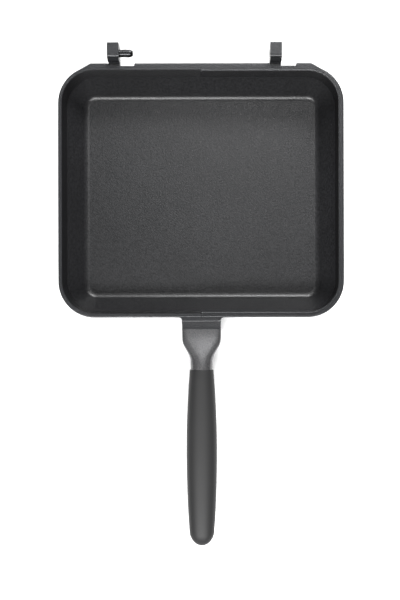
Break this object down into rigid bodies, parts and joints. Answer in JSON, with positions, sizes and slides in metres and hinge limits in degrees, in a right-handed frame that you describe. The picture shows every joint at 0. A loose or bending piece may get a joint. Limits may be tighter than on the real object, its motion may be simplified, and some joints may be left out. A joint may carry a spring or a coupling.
{
  "type": "double sided flip pan half",
  "caption": "Deep rectangular tray with a raised half lip, two hinge lugs with a side pin, a cast neck and a soft grip; two copies close into one flip pan.",
  "frame": {"origin": "centre of the tray's width and of its rim's depth, on the plane that the base stands on", "axes": "+X to the bored lug's side, +Y from the grip to the hinge, +Z out of the open tray"},
  "size_m": [0.2664, 0.4686, 0.0483],
  "materials": {
    "cast_coated": "die-cast aluminium, grey painted rim and outside, black non-stick coat inside",
    "pin_steel": "turned steel, satin",
    "neck_paint": "cast and painted silver grey, satin",
    "screw_steel": "zinc plated steel",
    "core_plastic": "hard black plastic",
    "soft_touch": "dark grey soft-touch, matte",
    "magnet_nickel": "nickel plated magnet"
  },
  "bodies": {
    "root": {"pan_body": "cast_coated", "hinge_pin": "pin_steel", "handle_neck": "neck_paint", "neck_screws": "screw_steel", "grip_core": "core_plastic", "grip_sleeve": "soft_touch", "grip_screw": "screw_steel", "latch_magnet": "magnet_nickel"}
  },
  "joints": []
}
